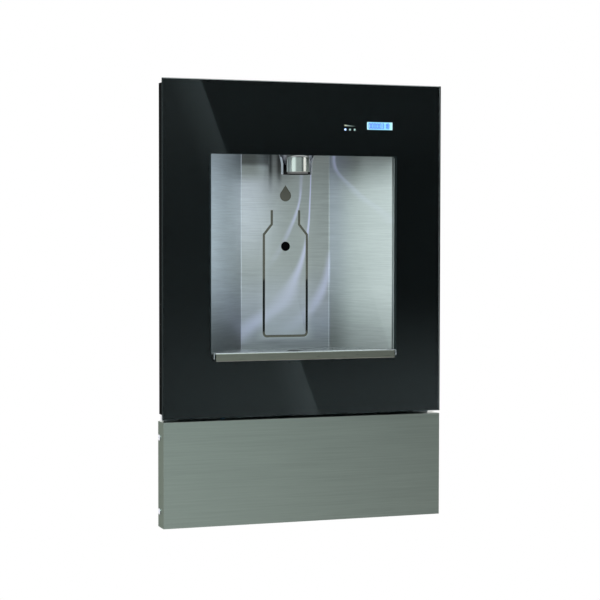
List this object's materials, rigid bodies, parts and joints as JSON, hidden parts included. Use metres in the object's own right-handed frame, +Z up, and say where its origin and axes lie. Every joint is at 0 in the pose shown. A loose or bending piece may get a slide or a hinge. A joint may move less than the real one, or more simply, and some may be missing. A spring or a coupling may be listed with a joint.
{
  "type": "bottle filling station",
  "caption": "In-wall bottle filler: glass front with a splayed stainless alcove, nozzle, drip tray and drain, a wall box behind and a removable panel over the filter.",
  "frame": {"origin": "centre of the four wall screws in the plane of the finished wall", "axes": "+X to the right seen from the room, +Y into the wall, +Z up"},
  "size_m": [0.4198, 0.126, 0.634],
  "materials": {
    "galvanised": "galvanised sheet, faint spangle",
    "black_steel": "satin black powder coat",
    "front_glass": "polished tempered glass",
    "black_backing": "black enamel behind the glass",
    "foam": "foam tape",
    "brushed_stainless": "horizontal brushed grain",
    "panel_stainless": "horizontal brushed grain",
    "outline_grey": "satin",
    "chrome": "polished",
    "nickel": "satin nickel",
    "insert_grey": "satin",
    "zinc": "zinc plated",
    "black_rubber": "matte",
    "drain_metal": "chrome plated brass",
    "brass": "machined",
    "white_plastic": "satin moulded",
    "black_plastic": "fine textured",
    "handle_blue": "moulded",
    "sensor_lens": "polished dark lens",
    "display_blue": "lit display",
    "light_white": "clear domes",
    "gauge_beige": "translucent",
    "circuit_board": "lacquered board",
    "lamp_aluminium": "anodised",
    "lamp_diffuser": "opal",
    "tube_blue": "extruded",
    "tube_white": "extruded",
    "supply_grey": "black anodised, finned",
    "wire_black": "sheathed leads"
  },
  "bodies": {
    "chassis": {"wall_box": "galvanised", "panel_brackets": "galvanised", "sensor_bracket": "galvanised", "solenoid_bracket": "galvanised", "head_bracket": "galvanised", "front_frame": "black_steel", "carrier_plate": "black_steel", "glass_panel": "front_glass", "backing_film": "black_backing", "glass_tape": "foam", "alcove_liner": "brushed_stainless", "alcove_ceiling": "brushed_stainless", "drip_tray": "brushed_stainless", "outline_backing": "outline_grey", "nozzle_shroud": "chrome", "drain_strainer": "chrome", "nozzle_body": "nickel", "nozzle_insert": "insert_grey", "frame_screws": "zinc", "carrier_screws": "zinc", "board_screws": "zinc", "nozzle_nut": "zinc", "solenoid_spring": "zinc", "drain_gasket": "black_rubber", "drain_body": "drain_metal", "drain_pipe": "drain_metal", "inlet_valve": "brass", "bulkhead_nut": "brass", "filter_head": "white_plastic", "nozzle_elbow": "white_plastic", "flow_regulator": "white_plastic", "solenoid_body": "white_plastic", "board_spacers": "white_plastic", "sensor_housing": "black_plastic", "solenoid_coil": "black_plastic", "control_cover": "black_plastic", "cable_gland": "black_plastic", "drain_nut": "black_plastic", "filter_cradle": "black_plastic", "sensor_window": "sensor_lens", "lcd_display": "display_blue", "filter_lights": "light_white", "filter_gauge": "gauge_beige", "display_board": "circuit_board", "control_board": "circuit_board", "alcove_lamp": "lamp_aluminium", "lamp_lens": "lamp_diffuser", "filtered_tube": "tube_blue", "nozzle_tube": "tube_blue", "supply_tube": "tube_white", "power_supply": "supply_grey", "wiring_harness": "wire_black"},
    "access_panel": {"access_panel": "panel_stainless", "panel_screws": "chrome", "panel_nuts": "zinc"},
    "filter": {"filter_cartridge": "white_plastic", "filter_seals": "black_rubber"},
    "inlet_handle": {"valve_handle": "handle_blue"},
    "plunger": {"solenoid_plunger": "zinc"}
  },
  "joints": [
    {"name": "panel_slide", "type": "slide", "parent": "chassis", "child": "access_panel", "axis": [0, -1, 0], "range_m": [0, 0.08]},
    {"name": "filter_turn", "type": "hinge", "parent": "chassis", "child": "filter", "pos_m": [0, 0.015, -0.228], "axis": [1, 0, 0], "range_deg": [0, 90]},
    {"name": "handle_turn", "type": "hinge", "parent": "chassis", "child": "inlet_handle", "pos_m": [-0.15, 0.045, -0.2708], "axis": [0, -1, 0], "range_deg": [0, 90]},
    {"name": "plunger_slide", "type": "slide", "parent": "chassis", "child": "plunger", "axis": [0, -1, 0], "range_m": [0, 0.0025], "stiffness_N_per_m": 400, "springref_m": -0.002, "deforming": ["solenoid_spring"]}
  ]
}
